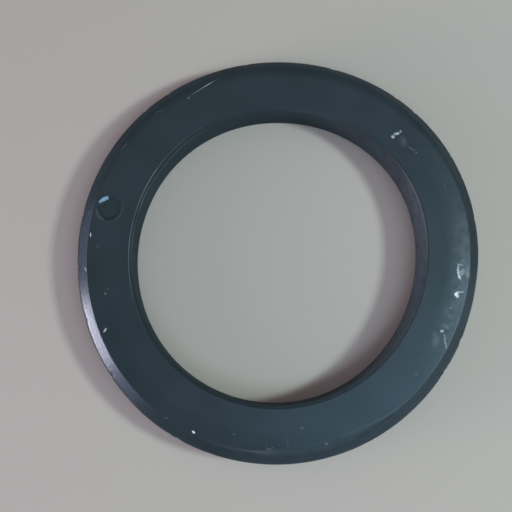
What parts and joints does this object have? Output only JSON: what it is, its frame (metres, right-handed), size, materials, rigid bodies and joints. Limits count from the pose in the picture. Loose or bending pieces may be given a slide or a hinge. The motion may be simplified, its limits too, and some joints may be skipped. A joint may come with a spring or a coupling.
{
  "type": "throttle body gasket",
  "caption": "Moulded rubber gasket ring with a straight bore, flat faces and chamfered outer edges, for sealing a throttle body to its intake.",
  "frame": {"origin": "centre of the ring on its lower face", "axes": "+Z along the bore axis, from the lower face to the face with the mould mark"},
  "size_m": [0.0796, 0.0796, 0.008],
  "materials": {
    "moulded_rubber": "black moulded rubber, satin, with a dusty sheen"
  },
  "bodies": {
    "root": {"gasket_ring": "moulded_rubber"}
  },
  "joints": []
}
